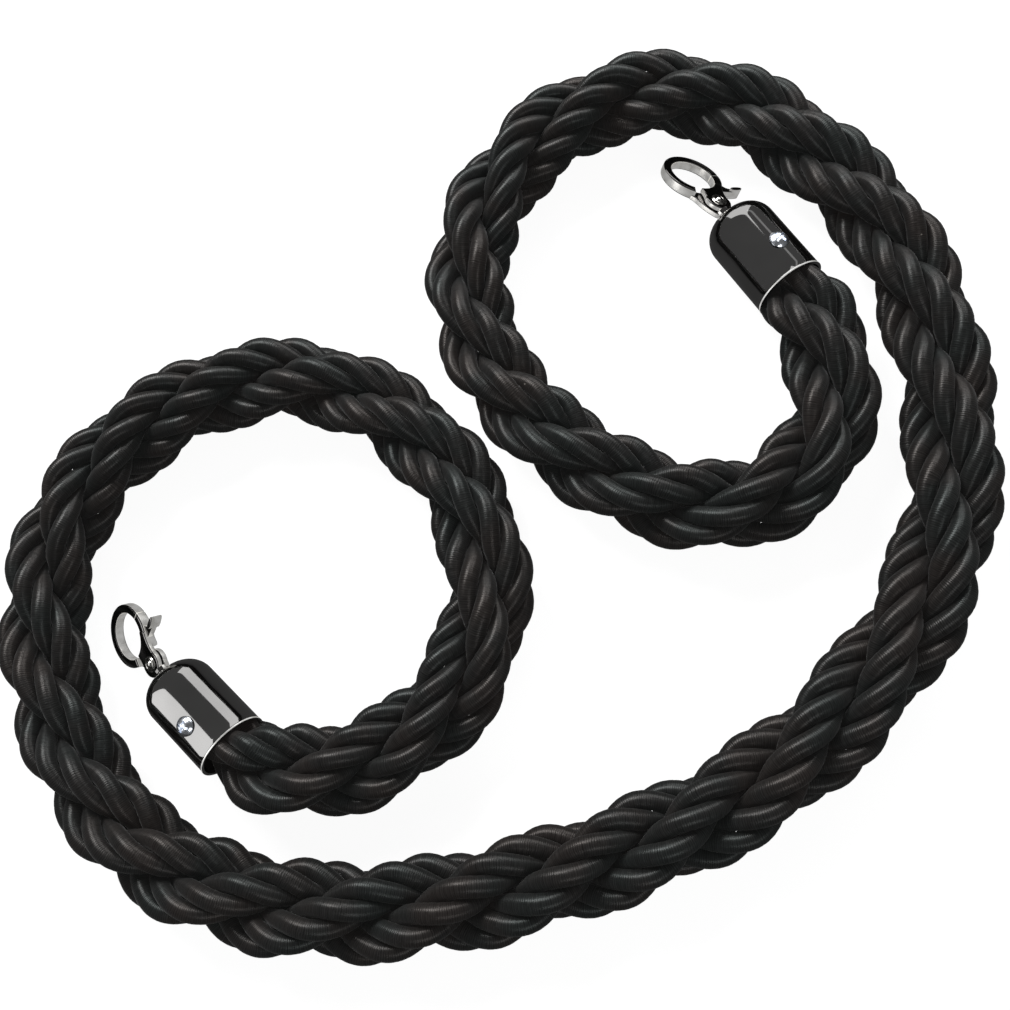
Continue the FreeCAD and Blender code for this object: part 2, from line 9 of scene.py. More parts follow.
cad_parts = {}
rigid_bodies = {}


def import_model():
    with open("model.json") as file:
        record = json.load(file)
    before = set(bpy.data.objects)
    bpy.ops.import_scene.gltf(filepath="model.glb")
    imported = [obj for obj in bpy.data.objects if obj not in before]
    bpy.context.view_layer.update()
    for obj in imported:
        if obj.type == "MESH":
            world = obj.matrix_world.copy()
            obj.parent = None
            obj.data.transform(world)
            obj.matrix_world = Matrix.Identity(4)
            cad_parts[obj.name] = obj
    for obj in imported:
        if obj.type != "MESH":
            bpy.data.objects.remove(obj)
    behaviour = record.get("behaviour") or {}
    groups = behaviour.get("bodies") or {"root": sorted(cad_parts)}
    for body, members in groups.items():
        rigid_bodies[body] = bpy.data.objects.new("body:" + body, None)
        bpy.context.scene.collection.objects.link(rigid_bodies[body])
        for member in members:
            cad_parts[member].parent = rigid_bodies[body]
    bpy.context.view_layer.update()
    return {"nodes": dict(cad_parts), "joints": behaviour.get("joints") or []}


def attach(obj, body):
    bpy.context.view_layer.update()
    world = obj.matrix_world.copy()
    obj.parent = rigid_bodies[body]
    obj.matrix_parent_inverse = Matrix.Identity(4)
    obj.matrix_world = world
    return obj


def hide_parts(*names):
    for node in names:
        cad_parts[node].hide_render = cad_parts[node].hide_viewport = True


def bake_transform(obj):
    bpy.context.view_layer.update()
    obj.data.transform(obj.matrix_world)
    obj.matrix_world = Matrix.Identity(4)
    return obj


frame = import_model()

MM = 0.001

# ------------------------------------------------------------------ shared dimensions, mm
ORBIT = 8.5              # strand centre about the rope's axis
PITCH = 105.0            # left-handed lay
PHASE = math.radians(20.0)
LIFT = -0.75
PATH_IN_CAP, IN_CAP = 28.0, 25.0
FILL, NECK_LEN = 0.77, 13.0      # the rope is squeezed to this share of its size at the mouth
SECTIONS = 7
CORDS = 4                # cords laid round the core of each strand
CORD_ORBIT = 4.7
CORD_R = 3.4
RIB = 0.62               # spacing of the ribs along a cord
CORD_RATE = 0.1748       # turn of the cords about their strand per mm of rope, right-handed

PATH = np.array([
    (-119.5, -65.1, 14.9), (-102.5, -81.7, 16.4), (-84.6, -97.9, 17.5), (-63.5, -108.9, 17.9),
    (-39.2, -106.7, 17.6), (-17.1, -95.1, 17.5), (-0.9, -77.4, 17.5), (6.9, -54.9, 17.5),
    (5.9, -30.7, 17.5), (-3.3, -8.3, 17.5), (-18.4, 10.7, 17.5), (-37.2, 25.9, 17.5),
    (-59.0, 35.4, 17.5), (-82.5, 37.5, 17.5), (-105.7, 32.8, 17.5), (-126.7, 21.8, 17.5),
    (-144.3, 5.6, 17.5), (-156.7, -14.8, 17.5), (-161.9, -38.0, 17.5), (-159.9, -61.7, 17.5),
    (-152.3, -84.2, 17.5), (-140.4, -104.9, 17.5), (-125.2, -123.3, 17.5), (-106.2, -137.8, 17.5),
    (-84.1, -146.8, 17.5), (-60.5, -151.1, 17.5), (-36.6, -151.7, 17.5), (-12.9, -149.0, 17.5),
    (10.3, -143.6, 17.5), (33.0, -136.3, 17.5), (55.2, -127.7, 17.5), (76.9, -117.7, 17.5),
    (97.4, -105.5, 17.5), (115.9, -90.4, 17.5), (132.0, -72.8, 17.5), (146.0, -53.3, 17.5),
    (156.5, -31.9, 17.5), (161.7, -8.6, 17.5), (162.6, 15.4, 17.5), (160.5, 39.1, 17.5),
    (155.8, 62.5, 17.5), (147.5, 84.9, 17.5), (135.1, 105.0, 17.5), (119.5, 123.2, 17.5),
    (101.8, 139.1, 17.5), (80.7, 150.2, 17.5), (56.8, 152.8, 17.5), (33.6, 146.2, 17.5),
    (14.3, 131.6, 17.5), (0.2, 112.0, 17.5), (-7.8, 89.5, 17.5), (-7.3, 65.5, 17.5),
    (1.0, 42.6, 17.5), (15.1, 22.9, 17.5), (33.1, 7.0, 17.5), (53.3, -6.0, 17.5),
    (75.8, -14.3, 17.5), (99.7, -12.3, 17.5), (119.0, 2.8, 17.5), (126.2, 26.3, 17.6),
    (121.2, 50.3, 17.9), (108.9, 70.9, 17.5), (94.9, 90.2, 16.4), (81.1, 109.4, 14.9),
])


# ------------------------------------------------------------------ centre line of the rope
def spline(u):
    i = np.clip(np.floor(u).astype(int), 0, len(PATH) - 4)
    t = (u - i)[:, None]
    p0, p1, p2, p3 = PATH[i], PATH[i + 1], PATH[i + 2], PATH[i + 3]
    return (p0 * (1 - t) ** 3 + p1 * (3 * t ** 3 - 6 * t ** 2 + 4)
            + p2 * (-3 * t ** 3 + 3 * t ** 2 + 3 * t + 1) + p3 * t ** 3) / 6


_u = np.linspace(0, len(PATH) - 3, (len(PATH) - 3) * 200 + 1)
_p = spline(_u)
_s = np.concatenate([[0], np.cumsum(np.linalg.norm(np.diff(_p, axis=0), axis=1))])
LENGTH = float(_s[-1])
STEP = 0.25
_n = int(LENGTH / STEP) + 2
S_TAB = np.arange(-40, _n + 40) * STEP
P_TAB = np.stack([np.interp(S_TAB, _s, _p[:, k]) for k in range(3)], 1)
T_TAB = np.gradient(P_TAB, STEP, axis=0)
_inside = (S_TAB > 0.6) & (S_TAB < LENGTH - 0.6)
_first, _last = np.argmax(_inside), len(_inside) - 1 - np.argmax(_inside[::-1])
T_TAB /= np.maximum(np.linalg.norm(T_TAB, axis=1), 1e-9)[:, None]
for _i in range(3):                    # smooth the table's rounding, then run on straight past the ends
    T_TAB[_first + 1:_last] = (T_TAB[_first:_last - 1] + T_TAB[_first + 1:_last] * 2 + T_TAB[_first + 2:_last + 1]) / 4
T_TAB[:_first], T_TAB[_last + 1:] = T_TAB[_first], T_TAB[_last]
P_TAB[:_first] = P_TAB[_first] + (S_TAB[:_first] - S_TAB[_first])[:, None] * T_TAB[_first]
P_TAB[_last + 1:] = P_TAB[_last] + (S_TAB[_last + 1:] - S_TAB[_last])[:, None] * T_TAB[_last]
P_TAB[:, 2] += LIFT
T_TAB /= np.linalg.norm(T_TAB, axis=1)[:, None]
U_TAB = np.array([0, 0, 1.0]) - T_TAB * T_TAB[:, 2:3]
U_TAB /= np.linalg.norm(U_TAB, axis=1)[:, None]
L_TAB = np.cross(U_TAB, T_TAB)


def frame_at(s):
    """Point, left, up and tangent at arc length s (array)."""
    x = (np.asarray(s, float) - S_TAB[0]) / STEP
    i = np.clip(x.astype(int), 0, len(S_TAB) - 2)
    f = (x - i)[:, None]
    out = [a[i] * (1 - f) + a[i + 1] * f for a in (P_TAB, L_TAB, U_TAB, T_TAB)]
    return out


def neck(s):
    x = np.clip((np.minimum(s, LENGTH - s) - PATH_IN_CAP + 1.0) / NECK_LEN, 0, 1)
    deep = np.clip((PATH_IN_CAP - np.minimum(s, LENGTH - s)) / 6.0, 0, 1)
    return FILL - 0.08 * deep + (1 - FILL) * x * x * (3 - 2 * x)


LAY = np.array([
    (0, 20), (40, 19.5), (92, 16.4), (144, 8.1), (196, 1.9), (248, -2.5),
    (300, -8.4), (352, -13), (404, -13.2), (456, -13), (508, -13.3), (560, -14),
    (612, -18.3), (664, -24.2), (716, -29.9), (768, -39), (820, -49.9), (872, -60.4),
    (924, -68.7), (976, -74.5), (1028, -80.7), (1080, -88.5), (1132, -97.5), (1184, -99.4),
    (1236, -94.2), (1288, -90.3), (1340, -87), (1450, -83),
])
_g = np.array([(LAY[min(k + 1, len(LAY) - 1)][1] - LAY[max(k - 1, 0)][1])
               / (LAY[min(k + 1, len(LAY) - 1)][0] - LAY[max(k - 1, 0)][0]) for k in range(len(LAY))])


def slipped(s):
    """Arc length whose basic lay angle the strands have at arc length s."""
    i = np.clip(np.searchsorted(LAY[:, 0], s, side="right") - 1, 0, len(LAY) - 2)
    s0, v0, s1, v1 = LAY[i, 0], LAY[i, 1], LAY[i + 1, 0], LAY[i + 1, 1]
    h = s1 - s0
    t = np.clip((s - s0) / h, 0, 1)
    return s + (v0 * (1 + 2 * t) * (1 - t) ** 2 + _g[i] * h * t * (1 - t) ** 2
                + v1 * t * t * (3 - 2 * t) + _g[i + 1] * h * t * t * (t - 1))


FREE0, FREE1 = PATH_IN_CAP, LENGTH - PATH_IN_CAP
START, END = PATH_IN_CAP - IN_CAP, LENGTH - PATH_IN_CAP + IN_CAP
CUTS = [FREE0 + (FREE1 - FREE0) * i / SECTIONS for i in range(1, SECTIONS)]
MIDS = [(a + b) / 2 for a, b in zip([FREE0] + CUTS, CUTS + [FREE1])]


def soft_keep(x, y, half, gap, e):
    """Pushes points back inside a wedge of half-angle half about +x, leaving gap, with a soft edge e."""
    for side in (1, -1):
        nx, ny = math.sin(half), -side * math.cos(half)
        d = x * nx + y * ny - gap
        push = (d + np.sqrt(d * d + e * e)) / 2 - d
        x, y = x + push * nx, y + push * ny
    return x, y


def wobble(s, seed):
    """Slow smooth variation along the rope, about -1 to 1."""
    r = np.random.RandomState(seed)
    out = np.zeros_like(s)
    for k in range(5):
        out += np.sin(s * (2 * math.pi / r.uniform(28, 110)) + r.uniform(0, 6.28)) * r.uniform(0.3, 1.0)
    return out / 2.2


ROWS = int(round((END - START) / 8.0)) * 8
S_ROW = np.linspace(START, END, ROWS + 1)
AROUND = 20


def cord_grid(j, m):
    """Surface points of cord m of strand j: (rows, around, 3), with normals and length along the cord."""
    s = S_ROW
    p, left, up, tan = frame_at(s)
    k = neck(s)[:, None]
    phi = (PHASE + 2 * math.pi * j / 3 - 2 * math.pi * slipped(s) / PITCH)[:, None]
    er = left * np.cos(phi) + up * np.sin(phi)
    et = -left * np.sin(phi) + up * np.cos(phi)
    th = (2 * math.pi * m / CORDS + CORD_RATE * s + 0.4 + 2.1 * j)[:, None]
    seed = 100 + j * 10 + m
    th = th + 0.035 * wobble(s, seed)[:, None]
    orbit = CORD_ORBIT + 0.10 * wobble(s, seed + 50)[:, None]
    radius = CORD_R * (1 + 0.02 * wobble(s, seed + 90)[:, None])
    out = er * np.cos(th) + et * np.sin(th)
    c = p + k * (er * ORBIT + out * orbit)
    ct = np.gradient(c, s, axis=0)
    ct /= np.linalg.norm(ct, axis=1)[:, None]
    n = out - ct * (out * ct).sum(1)[:, None]
    n /= np.linalg.norm(n, axis=1)[:, None]
    b = np.cross(ct, n)
    a = np.arange(AROUND) * 2 * math.pi / AROUND
    v = (c[:, None, :] + (k * radius)[:, None, :] * (n[:, None, :] * np.cos(a)[None, :, None]
                                                     + b[:, None, :] * np.sin(a)[None, :, None]))
    flat = v.reshape(-1, 3)
    sv = np.repeat(s, AROUND)
    for _ in range(4):
        q, _l, _u2, t = frame_at(sv)
        sv = sv + ((flat - q) * t).sum(1)
    q, left, up, t = frame_at(sv)
    kk = neck(sv)
    d = flat - q
    x, y = (d * left).sum(1) / kk, (d * up).sum(1) / kk
    ph = PHASE + 2 * math.pi * j / 3 - 2 * math.pi * slipped(sv) / PITCH
    x, y = x * np.cos(ph) + y * np.sin(ph), -x * np.sin(ph) + y * np.cos(ph)
    # inside the cord's own quarter of the strand
    tv = 2 * math.pi * m / CORDS + CORD_RATE * sv + 0.4 + 2.1 * j
    xs, ys = x - ORBIT, y
    cx, cy = xs * np.cos(tv) + ys * np.sin(tv), -xs * np.sin(tv) + ys * np.cos(tv)
    cx, cy = soft_keep(cx, cy, math.pi / CORDS, 0.03, 0.35)
    xs, ys = cx * np.cos(tv) - cy * np.sin(tv), cx * np.sin(tv) + cy * np.cos(tv)
    # inside the strand's own third of the rope
    x, y = soft_keep(xs + ORBIT, ys, math.pi / 3, 0.06, 0.5)
    x, y = x * kk, y * kk
    x, y = x * np.cos(ph) - y * np.sin(ph), x * np.sin(ph) + y * np.cos(ph)
    v = (q + left * x[:, None] + up * y[:, None]).reshape(v.shape)
    along = np.concatenate([[0], np.cumsum(np.linalg.norm(np.diff(c, axis=0), axis=1))])
    ds = np.gradient(v, axis=0)
    da = np.roll(v, -1, 1) - np.roll(v, 1, 1)
    nor = np.cross(da, ds)
    nor /= np.maximum(np.linalg.norm(nor, axis=2), 1e-12)[:, :, None]
    if (nor[:, 0] * n).sum() < 0:
        nor = -nor
    return v, nor, along


def strand_piece(name, grids, r0, r1):
    """One mesh of the strand's capped cord lengths, one for each of the CORDS cords, between rows r0 and r1, with the
    cords' own normals.
    """
    verts, faces, normals, uvs, rnd = [], [], [], [], []
    base = 0
    for m, (v, nor, along) in enumerate(grids):
        vv, nn, al = v[r0:r1 + 1], nor[r0:r1 + 1], along[r0:r1 + 1]
        rows = len(vv)
        idx = base + np.arange(rows * AROUND).reshape(rows, AROUND)
        nxt = np.roll(idx, -1, 1)
        f = np.stack([idx[:-1], nxt[:-1], nxt[1:], idx[1:]], -1).reshape(-1, 4)
        ni = np.roll(nn, -1, 1)
        ln = np.stack([nn[:-1], ni[:-1], ni[1:], nn[1:]], 2).reshape(-1, 4, 3)
        ua = np.repeat(al[:, None], AROUND, 1)
        va = np.repeat((np.arange(AROUND) / AROUND)[None, :], rows, 0)
        vb = va + 1.0 / AROUND
        uv = np.stack([np.stack([ua[:-1], va[:-1]], -1), np.stack([ua[:-1], vb[:-1]], -1),
                       np.stack([ua[1:], vb[1:]], -1), np.stack([ua[1:], va[1:]], -1)], 2).reshape(-1, 4, 2)
        verts.append(vv.reshape(-1, 3)); faces.append(f); normals.append(ln); uvs.append(uv)
        rnd.append(np.full(rows * AROUND, (m * 0.37) % 1.0))
        base += rows * AROUND
    quads = np.concatenate(faces); nquad = len(quads)
    caps, cap_n = [], []
    base = 0
    for m, (v, nor, along) in enumerate(grids):
        rows = r1 + 1 - r0
        for row, flip in ((0, True), (rows - 1, False)):
            ring = base + row * AROUND + np.arange(AROUND)
            vv = v[r0:r1 + 1]
            inner = 1 if row == 0 else rows - 2
            axis = vv[row].mean(0) - vv[inner].mean(0)
            axis /= np.linalg.norm(axis)
            order = ring if not flip else ring[::-1]
            caps.append(order); cap_n.append(axis)
        base += rows * AROUND
    vertices = np.concatenate(verts) * MM
    me = bpy.data.meshes.new(name)
    me.vertices.add(len(vertices)); me.vertices.foreach_set("co", vertices.ravel())
    nloop = nquad * 4 + len(caps) * AROUND
    me.loops.add(nloop)
    loops = np.concatenate([quads.ravel()] + caps)
    # outward winding: flip if the first quad's normal disagrees with its vertex normals
    q = quads[0]; a, b_, c = vertices[q[0]], vertices[q[1]], vertices[q[2]]
    flipped = np.dot(np.cross(b_ - a, c - a), normals[0][0, 0]) < 0
    lnorm = np.concatenate([np.concatenate(normals).reshape(-1, 3)]
                           + [np.repeat(x[None, :], AROUND, 0) for x in cap_n])
    luv = np.concatenate([np.concatenate(uvs).reshape(-1, 2), np.zeros((len(caps) * AROUND, 2))])
    if flipped:
        order = np.arange(nquad * 4).reshape(-1, 4)[:, ::-1].ravel()
        loops[:nquad * 4] = loops[:nquad * 4][order]
        lnorm[:nquad * 4] = lnorm[:nquad * 4][order]
        luv[:nquad * 4] = luv[:nquad * 4][order]
        tail = loops[nquad * 4:].reshape(len(caps), AROUND)[:, ::-1].copy()
        loops[nquad * 4:] = tail.ravel()
    me.loops.foreach_set("vertex_index", loops.astype(np.int32))
    me.polygons.add(nquad + len(caps))
    starts = np.concatenate([np.arange(nquad) * 4, nquad * 4 + np.arange(len(caps)) * AROUND])
    me.polygons.foreach_set("loop_start", starts.astype(np.int32))
    me.polygons.foreach_set("use_smooth", np.ones(nquad + len(caps), bool))
    uvl = me.uv_layers.new(name="UVMap")
    uvl.data.foreach_set("uv", luv.astype(np.float32).ravel())
    at = me.attributes.new("cord", "FLOAT", "POINT")
    at.data.foreach_set("value", np.concatenate(rnd).astype(np.float32))
    me.update(calc_edges=True)
    me.validate()
    me.normals_split_custom_set(lnorm.astype(np.float32))
    ob = bpy.data.objects.new(name, me)
    bpy.context.scene.collection.objects.link(ob)
    return ob


# ------------------------------------------------------------------ materials
def new_material(name):
    m = bpy.data.materials.new(name)
    m.use_nodes = True
    nt = m.node_tree
    nt.nodes.clear()
    out = nt.nodes.new("ShaderNodeOutputMaterial")
    bs = nt.nodes.new("ShaderNodeBsdfPrincipled")
    nt.links.new(bs.outputs[0], out.inputs[0])
    return m, nt, bs


def node(nt, kind, **kw):
    n = nt.nodes.new(kind)
    for k, v in kw.items():
        setattr(n, k, v)
    return n


def math_node(nt, op, a, b=None, clamp=False):
    n = nt.nodes.new("ShaderNodeMath")
    n.operation = op
    n.use_clamp = clamp
    for i, v in enumerate((a, b)):
        if v is None:
            continue
        if isinstance(v, (int, float)):
            n.inputs[i].default_value = v
        else:
            nt.links.new(v, n.inputs[i])
    return n.outputs[0]


def ramp(nt, fac, stops):
    n = nt.nodes.new("ShaderNodeValToRGB")
    el = n.color_ramp.elements
    while len(el) > len(stops):
        el.remove(el[-1])
    while len(el) < len(stops):
        el.new(0.5)
    for e, (p, c) in zip(el, stops):
        e.position = p
        e.color = (*c, 1.0) if len(c) == 3 else c
    nt.links.new(fac, n.inputs[0])
    return n.outputs[0]


def satin(name):
    """Black satin thread wound round each cord: fine ribs across it and a soft streak along its crest."""
    m, nt, bs = new_material(name)
    uv = node(nt, "ShaderNodeUVMap", uv_map="UVMap").outputs[0]
    sep = node(nt, "ShaderNodeSeparateXYZ")
    nt.links.new(uv, sep.inputs[0])
    u, v = sep.outputs[0], sep.outputs[1]
    pos = node(nt, "ShaderNodeNewGeometry").outputs["Position"]
    # uneven fine fibre, stretched round the cord
    comb = node(nt, "ShaderNodeCombineXYZ")
    slant = math_node(nt, "ADD", u, math_node(nt, "MULTIPLY", v, RIB))
    nt.links.new(slant, comb.inputs[0])
    nt.links.new(math_node(nt, "MULTIPLY", v, 1.3), comb.inputs[1])
    n1 = node(nt, "ShaderNodeTexNoise")
    n1.inputs["Scale"].default_value = 2.6
    n1.inputs["Detail"].default_value = 2.5
    n1.inputs["Roughness"].default_value = 0.55
    nt.links.new(comb.outputs[0], n1.inputs["Vector"])
    # one thread per rib, wandering a little
    drift = node(nt, "ShaderNodeTexNoise")
    drift.inputs["Scale"].default_value = 0.35
    drift.inputs["Detail"].default_value = 2.0
    nt.links.new(comb.outputs[0], drift.inputs["Vector"])
    phase = math_node(nt, "ADD", math_node(nt, "MULTIPLY", slant, 2 * math.pi / RIB),
                      math_node(nt, "MULTIPLY", drift.outputs["Fac"], 9.0))
    rib = math_node(nt, "MULTIPLY_ADD", math_node(nt, "SINE", phase), 0.5)
    rib.node.inputs[2].default_value = 0.5
    height = math_node(nt, "ADD", math_node(nt, "MULTIPLY", rib, 0.34), math_node(nt, "MULTIPLY", n1.outputs["Fac"], 1.05))
    big = node(nt, "ShaderNodeTexNoise")
    big.inputs["Scale"].default_value = 45.0
    big.inputs["Detail"].default_value = 3.0
    nt.links.new(pos, big.inputs["Vector"])
    col = ramp(nt, big.outputs["Fac"], [(0.35, (0.0068, 0.0075, 0.0073)), (0.5, (0.0075, 0.0074, 0.0072)),
                                        (0.66, (0.0094, 0.0082, 0.0077))])
    # colour follows the bump height: partly painted shade darkening the grooves between the ribs, partly uneven fibre
    # tone
    mix = node(nt, "ShaderNodeMix", data_type="RGBA", blend_type="MULTIPLY")
    mix.inputs["Factor"].default_value = 0.8
    nt.links.new(col, mix.inputs[6])
    nt.links.new(ramp(nt, height, [(0.3, (0.5, 0.5, 0.5)), (1.1, (1.5, 1.5, 1.5))]), mix.inputs[7])
    # a few specks of pale lint
    lint = node(nt, "ShaderNodeTexVoronoi")
    lint.inputs["Scale"].default_value = 120.0
    nt.links.new(pos, lint.inputs["Vector"])
    pick = math_node(nt, "MULTIPLY", math_node(nt, "LESS_THAN", lint.outputs["Distance"], 0.04),
                     math_node(nt, "GREATER_THAN", big.outputs["Fac"], 0.635))
    mix2 = node(nt, "ShaderNodeMix", data_type="RGBA")
    nt.links.new(pick, mix2.inputs["Factor"])
    nt.links.new(mix.outputs[2], mix2.inputs[6])
    mix2.inputs[7].default_value = (0.12, 0.11, 0.10, 1)
    nt.links.new(mix2.outputs[2], bs.inputs["Base Color"])
    rough = math_node(nt, "MULTIPLY_ADD", n1.outputs["Fac"], 0.22)
    rough.node.inputs[2].default_value = 0.25
    nt.links.new(rough, bs.inputs["Roughness"])
    spec = math_node(nt, "MULTIPLY_ADD", height, 0.29, clamp=True)
    spec.node.inputs[2].default_value = 0.0
    nt.links.new(spec, bs.inputs["Specular IOR Level"])
    nt.links.new(ramp(nt, big.outputs["Fac"], [(0.38, (0.90, 0.98, 0.96)), (0.5, (0.97, 0.95, 0.93)), (0.62, (1.0, 0.92, 0.87))]),
                 bs.inputs["Specular Tint"])
    bs.inputs["Anisotropic"].default_value = 0.6
    bs.inputs["Sheen Weight"].default_value = 0.085
    bs.inputs["Sheen Roughness"].default_value = 0.35
    nt.links.new(mix.outputs[2], bs.inputs["Emission Color"])     # painted glow: the cord glows faintly in its own colour to lift the shaded valleys between the cords
    bs.inputs["Emission Strength"].default_value = 0.55
    tan = node(nt, "ShaderNodeTangent", direction_type="UV_MAP", uv_map="UVMap")
    nt.links.new(tan.outputs[0], bs.inputs["Tangent"])
    bump = node(nt, "ShaderNodeBump")
    bump.inputs["Strength"].default_value = 0.55
    bump.inputs["Distance"].default_value = 0.00014
    nt.links.new(height, bump.inputs["Height"])
    nt.links.new(bump.outputs[0], bs.inputs["Normal"])
    return m


def plated(name, colour, rough=0.07, glow=0.0, dirt=0.15):
    """Polished plating with faint polishing lines and slight unevenness."""
    m, nt, bs = new_material(name)
    tc = node(nt, "ShaderNodeTexCoord").outputs["Object"]
    n1 = node(nt, "ShaderNodeTexNoise")
    n1.inputs["Scale"].default_value = 260.0
    n1.inputs["Detail"].default_value = 5.0
    nt.links.new(tc, n1.inputs["Vector"])
    n2 = node(nt, "ShaderNodeTexNoise")
    n2.inputs["Scale"].default_value = 45.0
    n2.inputs["Detail"].default_value = 2.0
    nt.links.new(tc, n2.inputs["Vector"])
    dark = tuple(c * (1 - dirt) for c in colour)
    nt.links.new(ramp(nt, n2.outputs["Fac"], [(0.35, dark), (0.65, colour)]), bs.inputs["Base Color"])
    r = math_node(nt, "MULTIPLY_ADD", n1.outputs["Fac"], rough * 1.2)
    r.node.inputs[2].default_value = rough * 0.5
    nt.links.new(r, bs.inputs["Roughness"])
    bs.inputs["Metallic"].default_value = 1.0
    if glow:                           # painted glow: a pale emission that paints the reflection of the pale surroundings onto these faces
        nt.links.new(ramp(nt, n1.outputs["Fac"], [(0.35, (0.62, 0.61, 0.58)), (0.65, (1, 1, 0.98))]), bs.inputs["Emission Color"])
        bs.inputs["Emission Strength"].default_value = glow
    bump = node(nt, "ShaderNodeBump")
    bump.inputs["Strength"].default_value = 0.04
    bump.inputs["Distance"].default_value = 0.0003
    nt.links.new(n2.outputs["Fac"], bump.inputs["Height"])
    nt.links.new(bump.outputs[0], bs.inputs["Normal"])
    return m


def cloth_tape(name):
    m, nt, bs = new_material(name)
    tc = node(nt, "ShaderNodeTexCoord").outputs["Object"]
    w = node(nt, "ShaderNodeTexWave", wave_type="BANDS", bands_direction="DIAGONAL")
    w.inputs["Scale"].default_value = 900.0
    w.inputs["Distortion"].default_value = 1.5
    nt.links.new(tc, w.inputs["Vector"])
    nt.links.new(ramp(nt, w.outputs["Fac"], [(0.2, (0.02, 0.02, 0.02)), (0.8, (0.06, 0.06, 0.06))]), bs.inputs["Base Color"])
    bs.inputs["Roughness"].default_value = 0.8
    return m


M_ROPE = satin("satin_cord")
M_CAP = plated("cap_plating", (0.40, 0.395, 0.39), 0.06)
M_HOOK = plated("hook_plating", (0.30, 0.29, 0.285), 0.10)
# sideways faces of the hooks: a near-white copy of the hook metal with painted glow, a painted reflection of the pale
# floor
M_HOOK_SIDE_GLOW = plated("hook_edge", (0.92, 0.90, 0.86), 0.28, glow=0.34)
# the cap's lip ring: near-white rough metal with painted glow, a painted highlight on the rim
M_LIP_GLOW = plated("cap_lip_painted_glow", (0.97, 0.97, 0.95), 0.34, glow=0.55)
M_SCREW = plated("screw_plating", (0.86, 0.90, 0.97), 0.22)
M_RIVET = plated("rivet_steel", (0.62, 0.61, 0.58), 0.16)
M_STEEL = plated("pin_steel", (0.5, 0.5, 0.5), 0.22)
M_TAPE = cloth_tape("binding_tape")

for _name, _o in frame["nodes"].items():
    if _name.startswith("end_cap") or _name.startswith("swivel_collar"):
        _m = M_CAP
    elif _name.startswith("hook_"):
        _m = M_HOOK
    elif _name.startswith("cap_screw"):
        _m = M_SCREW
    elif _name.startswith("gate_rivet"):
        _m = M_RIVET
    elif _name.startswith("end_binding"):
        _m = M_TAPE
    elif _name.startswith("rope_strand"):
        _m = M_ROPE
    else:
        _m = M_STEEL
    _o.data.materials.clear()
    _o.data.materials.append(_m)

# ------------------------------------------------------------------ the rope
ROW_OF = [int(round((x - START) / (END - START) * ROWS)) for x in MIDS]
BREAKS = [0] + ROW_OF[0:1] + ROW_OF[1:] + [ROWS]
HINGE = {j["name"]: j for j in frame["joints"]}
for _j in range(3):
    _letter = "abc"[_j]
    _grids = [cord_grid(_j, _m2) for _m2 in range(CORDS)]
    _cuts = [0] + ROW_OF + [ROWS]
    for _i in range(len(_cuts) - 1):
        if _i == 0:
            _nm = "laid_strand_%s_end_1" % _letter
        elif _i == len(_cuts) - 2:
            _nm = "laid_strand_%s_end_2" % _letter
        else:
            _nm = "laid_strand_%s_bend_%d" % (_letter, _i)
        _ob = strand_piece(_nm, _grids, _cuts[_i], _cuts[_i + 1])
        _ob.data.materials.append(M_ROPE)
        if _i == 0:
            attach(_ob, "rope_1")
            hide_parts("rope_strand_%s_1" % _letter)
        elif _i == len(_cuts) - 2:
            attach(_ob, "rope_7")
            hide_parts("rope_strand_%s_7" % _letter)
        else:
            _p0, _l0, _u0, _t0 = frame_at(np.array([CUTS[_i - 1]]))
            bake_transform(_ob)
            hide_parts("rope_strand_%s_%d" % (_letter, _i), "rope_strand_%s_%d" % (_letter, _i + 1))

# ------------------------------------------------------------------ metal parts
CAP_R, CAP_WALL, CAP_LEN, CAP_SHOULDER, HOLE_R = 13.0, 1.0, 37.5, 9.0, 2.9
RING_AT, RING_IN, RING_OUT, RING_T = 16.5, 8.8, 12.0, 2.0
EYE_R, LAP, FLAP = 5.1, 0.1, 2.2
SPLIT, SEAM = (95.3, 96.7), -148.0
MOUTHS = {1: ((-80.89, -99.72, 17.15), (-0.77167, 0.63603)), 2: ((111.02, 67.27, 17.15), (-0.57030, 0.82144))}
HOOKS = {
    1: ((-115.6557, -71.0652, 13.4171), (-0.75338, 0.62095, -0.21644), (0.41206, 0.70229, 0.58053), (0.51248, 0.34817, -0.78495)),
    2: ((85.2862, 104.336, 13.7723), (-0.56164, 0.80896, -0.17365), (0.71617, 0.37021, -0.59165), (-0.41433, -0.45665, -0.78727)),
}


def axes(origin, x, y, z):
    return Matrix(((x[0] * MM, y[0] * MM, z[0] * MM, origin[0] * MM), (x[1] * MM, y[1] * MM, z[1] * MM, origin[1] * MM),
                   (x[2] * MM, y[2] * MM, z[2] * MM, origin[2] * MM), (0, 0, 0, 1)))


def arc(cx, cy, r, a0, a1, step=4.0):
    n = max(2, int(abs(a1 - a0) / step))
    return [(cx + r * math.cos(math.radians(a0 + (a1 - a0) * i / n)), cy + r * math.sin(math.radians(a0 + (a1 - a0) * i / n)))
            for i in range(n + 1)]


def rounded(points, times=2):
    for _ in range(times):
        out = []
        for i, p in enumerate(points):
            q = points[(i + 1) % len(points)]
            out += [(p[0] * 0.75 + q[0] * 0.25, p[1] * 0.75 + q[1] * 0.25), (p[0] * 0.25 + q[0] * 0.75, p[1] * 0.25 + q[1] * 0.75)]
        points = out
    return points


